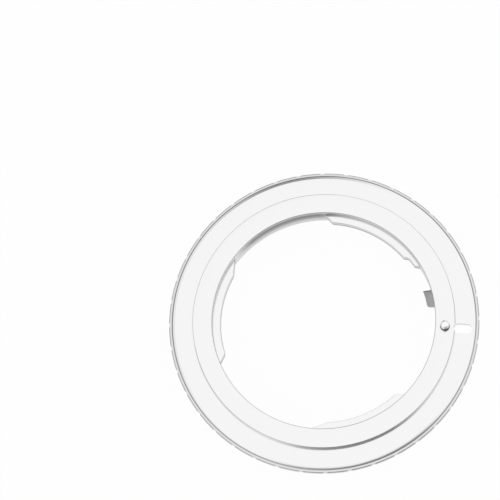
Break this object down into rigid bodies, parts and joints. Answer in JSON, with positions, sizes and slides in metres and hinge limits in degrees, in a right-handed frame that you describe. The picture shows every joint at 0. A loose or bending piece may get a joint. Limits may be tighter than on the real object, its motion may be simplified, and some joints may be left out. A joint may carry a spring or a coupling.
{
  "type": "lens mount adapter",
  "caption": "Thin silver ring with a notched rim, a bayonet for a lens inside and a bayonet for a camera behind, and a sprung lock pin.",
  "frame": {"origin": "on the optical axis, in the plane of the ring's rear end, on which it rests", "axes": "+Z along the optical axis towards the lens; +X from the axis to the lock pin and the lock slot"},
  "size_m": [0.0654, 0.0654, 0.0083],
  "materials": {
    "ring_chrome": "satin chrome plate over turned brass",
    "pin_steel": "polished steel",
    "spring_steel": "dark rolled spring steel",
    "screw_steel": "bright steel"
  },
  "bodies": {
    "ring": {"adapter_ring": "ring_chrome", "lock_spring": "spring_steel", "spring_screw_1": "screw_steel", "spring_screw_2": "screw_steel"},
    "pin": {"lock_pin": "pin_steel"}
  },
  "joints": [
    {"name": "lock_pin_slide", "type": "slide", "parent": "ring", "child": "pin", "axis": [0, 0, 1], "range_m": [-0.0016, 0], "stiffness_N_per_m": 770, "springref_m": 0.0005, "deforming": ["lock_spring"]}
  ]
}
